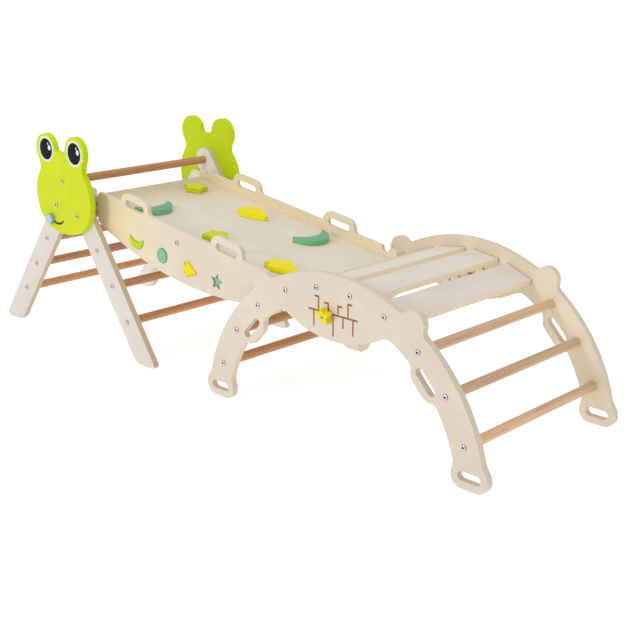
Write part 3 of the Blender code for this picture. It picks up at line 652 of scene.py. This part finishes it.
def dress_painted():
    for kind, tones in (("star", HOLD_LIME), ("moon", HOLD_GREEN), ("tree", HOLD_YELLOW)):
        material = paint(kind + "_hold_paint", tones, RAMP_UP)
        for place in ("upper", "lower"):
            eased(f"hold_{kind}_{place}", material, ROUND_HOLD)
    lime = paint("lime_block_paint", BLOCK_LIME, Y)
    green = paint("green_block_paint", GREEN, Y)
    yellow = paint("yellow_block_paint", YELLOW, Y)
    petal = paint("flower_paint", BLUE, Y)
    for block, material in zip(PUZZLE, (lime, green, yellow, green)):
        eased(f"puzzle_{block}", material, ROUND_BLOCK, 2)
    for side, _ in SIDES:
        eased(f"maze_star_{side}", yellow, ROUND_KNOB)
        eased(f"mouth_knob_{side}", petal, ROUND_KNOB)
        # the far frog's darker face tone is painted shade
        tones = FAR_FROG_SHADED_LIME if side == "far" else FROG_LIME
        face = paint(f"frog_paint_{side}", tones, Y, burn_and_shade=(MOUTH, MOUTH_REACH))
        eased(f"frog_face_{side}", face, ROUND_FROG, fine=near_point(MOUTH, MOUTH_REACH))


# ---------------------------------------------------------------- screws


def screw_mesh(name, head_radius, shank, material):
    """A button head with a hexagon socket, and its shank, along y from the seat of the head."""
    scale = head_radius / HEAD_RADIUS
    height = HEAD_HEIGHT * scale
    socket = SOCKET_RADIUS * scale
    rings = [(SHANK_RADIUS, -shank), (SHANK_RADIUS, 0)]
    rings += [(head_radius * 0.97, 0), (head_radius, height * 0.08)]
    for degrees in (0, 12, 24, 36, 48, 58):
        angle = math.radians(degrees)
        rings.append((head_radius * math.cos(angle), height * (0.25 + 0.75 * math.sin(angle))))
    floor = height - SOCKET_DEPTH * scale
    rings += [(-socket * 1.06, height), (-socket, height * 0.93), (-socket, floor)]
    return turned(name, rings, material)


def turned(name, rings, material):
    """A body turned about y from rings of (radius, y). A negative radius is a hexagon's."""
    work = bmesh.new()
    loops = []
    for radius, y in rings:
        loop = []
        for i in range(SCREW_SIDES):
            angle = math.tau * i / SCREW_SIDES
            reach = radius if radius > 0 else hexagon_reach(-radius, angle)
            loop.append(work.verts.new((reach * math.cos(angle), y, reach * math.sin(angle))))
        loops.append(loop)
    closed(work, loops)
    return as_mesh(work, name, 35, material)


def hexagon_reach(apothem, angle):
    """How far a hexagon's rim lies from its middle at an angle."""
    sixth = math.pi / 3
    return apothem / math.cos((angle + sixth / 2) % sixth - sixth / 2)


def set_screw(name, mesh, seat, outward, body):
    """Puts a screw's head on a point of a face, pointing along the face's normal."""
    piece = placed(name, mesh, body)
    piece.location = seat
    piece.rotation_euler = Y.rotation_difference(outward).to_euler()
    return piece


def outer_face(name, outward):
    """The middle and the normal of a piece's largest face on its outer side."""
    work = cleaned(name)
    faces = [f for f in work.faces if f.normal.y * outward > 0.9]
    face = max(faces, key=lambda f: f.calc_area())
    spot, normal = face.calc_center_median(), face.normal.copy()
    work.free()
    return spot, normal


def screwed_ends():
    """What each screw holds, with the board that it goes through and the board's body."""
    seats = {f"arch_slat_{i}": ("arch_side", "frame") for i in (1, 2, 3, 4)}
    for i in (1, 2, 3):
        seats[f"arch_rung_left_{i}"] = ("arch_side", "frame")
        seats[f"arch_rung_right_{i}"] = ("arch_side", "frame")
        seats[f"front_rung_{i + 1}"] = ("front_leg", "frame")
        seats[f"rear_rung_{i}"] = ("rear_leg", "rear_ladder")
    return seats


def drive_screws(zinc):
    screw = screw_mesh("screw", HEAD_RADIUS, SHANK, zinc)
    small = screw_mesh("small_screw", SMALL_HEAD, SMALL_SHANK, zinc)
    for side, outward in SIDES:
        for held, (board, body) in screwed_ends().items():
            spot = middle(held)
            spot.y = outer_y(f"{board}_{side}", outward)
            set_screw(f"screw_{held}_{side}", screw, spot, Y * outward, body)
        for i, share in enumerate((-1, 0, 1)):
            spot = on_ramp(RAMP_SPAN / 2 + DECK_SCREW_SHIFT + share * DECK_SCREW_REACH, DECK_SCREW_UP)
            spot.y = outer_y(f"ramp_side_{side}", outward)
            set_screw(f"screw_deck_{i + 1}_{side}", screw, spot, Y * outward, "ramp")
        spot, normal = outer_face(f"maze_star_{side}", outward)
        set_screw(f"screw_maze_star_{side}", small, spot, normal, f"maze_knob_{side}")


def replace_bolts(zinc):
    """Each bolt as one piece whose head sits on the frog's face and whose shank is as long as the CAD's."""
    for side, outward in SIDES:
        face = outer_y(f"frog_face_{side}", outward)
        for kind in ("top_bar", "rung", "pivot"):
            name = f"{kind}_bolt_{side}"
            low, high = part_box(name)
            reach = high.y - face if outward < 0 else face - low.y
            spot = middle(name)
            spot.y = face
            mesh = screw_mesh(name + "_finished", HEAD_RADIUS, reach, zinc)
            piece = set_screw(name + "_finished", mesh, spot, Y * outward, "frame")
            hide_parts(name)


def dress_steel():
    # the screws' steel, with painted shade low on the heads and in the sockets
    rim_shaded = steel("screw_zinc_rim_shade", True)
    plain = steel("zinc_plate", False)
    drive_screws(rim_shaded)
    replace_bolts(rim_shaded)
    for side, _ in SIDES:
        for name in (f"pivot_nut_{side}", f"maze_slider_{side}", f"mouth_slider_{side}"):
            eased(name, plain, ROUND_METAL, 2)


# ---------------------------------------------------------------- printed eyes

WHITE_INK = colour(0.66, 0.70, 0.665)
BLACK_INK = colour(0.007, 0.008, 0.009)


def print_spot(name, place, radii, level, outward, material, turn=0.0):
    """A flat printed oval on the outside of a frog's face, over the prints of lower levels."""
    face = outer_y(f"frog_face_{'far' if outward > 0 else 'near'}", outward)
    low = face + outward * INK / 4
    high = face + outward * INK * (level + 1)
    work = bmesh.new()
    loops = []
    for reach, y in ((1.0, low), (1.0, high - outward * INK * 0.4), (0.992, high)):
        loop = []
        for i in range(PRINT_STEPS):
            angle = math.tau * i / PRINT_STEPS
            u, v = radii[0] * reach * math.cos(angle), radii[1] * reach * math.sin(angle)
            x = TOP_BAR.x + place[0] + u * math.cos(turn) - v * math.sin(turn)
            z = TOP_BAR.z + place[1] + u * math.sin(turn) + v * math.cos(turn)
            loop.append(work.verts.new((x, y, z)))
        loops.append(loop)
    closed(work, loops)
    placed(name, as_mesh(work, name, 35, material), "frame")


def print_eyes():
    white = ink("white_ink", WHITE_INK)
    black = ink("black_ink", BLACK_INK)
    for side, outward in SIDES:
        for eye, x, z in EYES:
            name = f"eye_{eye}_{side}"
            for part, (right, up), radii, level, shade, slot, turn in (
                ("white", (0, 0), (WHITE_RADIUS, WHITE_RADIUS), 0, white, "white_print", 0),
                ("pupil", (0, 0), (PUPIL_RADIUS, PUPIL_RADIUS), 1, black, "black_print", 0),
                ("shine", SHINE, SHINE_RADII, 2, white, "white_print", 0),
                ("glint", GLINT, GLINT_RADII, 2, white, "white_print", GLINT_TURN),
            ):
                place = (x + right, z + up)
                print_spot(f"{name}_{part}", place, radii, level, outward, shade, turn)


# ---------------------------------------------------------------- studio

CAMERA_PLACE = (2.27218, -2.14666, 1.11930)
CAMERA_PITCH = 90 - 17.185
CAMERA_ROLL = 0.0545
CAMERA_HEADING = 44.392
SENSOR = 36.0
LENS = 65.195
CLIPPING = (0.05, 500.0)
SKY = 0.74
# Each light's place, target, size in metres and power in watts
KEY_LIGHT = ((-0.4, -4.0, 1.9), (0, 0, 0.3), 0.7, 38)
TOP_LIGHT = ((-0.6, -0.5, 3.6), (0, 0, 0), 1.6, 20)
FLOOR_SIZE = 300
FLOOR_DROP = 0.0002
FLOOR_GREYS = (colour(0.42, 0.42, 0.42), colour(0.44, 0.44, 0.44))
FLOOR_GLOW = 0.75
WHITE = colour(1, 1, 1)


def area_light(name, place, target, size, power):
    """A round soft light that faces its target."""
    light = bpy.data.lights.new(name, "AREA")
    light.shape = "DISK"
    light.size = size
    light.energy = power
    lamp = bpy.data.objects.new(name, light)
    bpy.context.scene.collection.objects.link(lamp)
    lamp.location = place
    lamp.rotation_euler = (Vector(target) - Vector(place)).to_track_quat("-Z", "Y").to_euler()


def build_studio():
    world = bpy.data.worlds.new("white_studio")
    bpy.context.scene.world = world
    world.use_nodes = True
    sky = world.node_tree.nodes["Background"]
    sky.inputs["Color"].default_value = WHITE
    sky.inputs["Strength"].default_value = SKY
    area_light("key", *KEY_LIGHT)
    area_light("top", *TOP_LIGHT)
    lay_floor()


def lay_floor():
    """A matt white floor that glows weakly, so that it is as white as the studio behind it."""
    bpy.ops.mesh.primitive_plane_add(size=FLOOR_SIZE, location=(0, 0, CAD_BOX[0].z - FLOOR_DROP))
    floor = bpy.context.object
    floor.name = "floor"
    graph = Graph("white_floor", 0.9, Specular_IOR_Level=0.1)
    cloud = graph.noise(graph.object_place(), (0.5, 0.5, 0.5), 2)
    graph.set("Base Color", graph.mix(cloud, *FLOOR_GREYS))
    graph.set("Emission Color", WHITE)
    graph.set("Emission Strength", FLOOR_GLOW)
    floor.data.materials.append(graph.material)


def build_camera():
    data = bpy.data.cameras.new("camera")
    data.sensor_width = SENSOR
    data.lens = LENS
    data.clip_start, data.clip_end = CLIPPING
    camera = bpy.data.objects.new("camera", data)
    bpy.context.scene.collection.objects.link(camera)
    camera.location = CAMERA_PLACE
    camera.rotation_euler = Euler([math.radians(a) for a in (CAMERA_PITCH, CAMERA_ROLL, CAMERA_HEADING)])
    bpy.context.scene.camera = camera


def main():
    build_camera()
    dress_arch()
    dress_ladders()
    dress_rungs()
    dress_ramp()
    dress_painted()
    dress_steel()
    print_eyes()
    build_studio()
    bpy.context.scene.view_settings.view_transform = "Standard"


main()
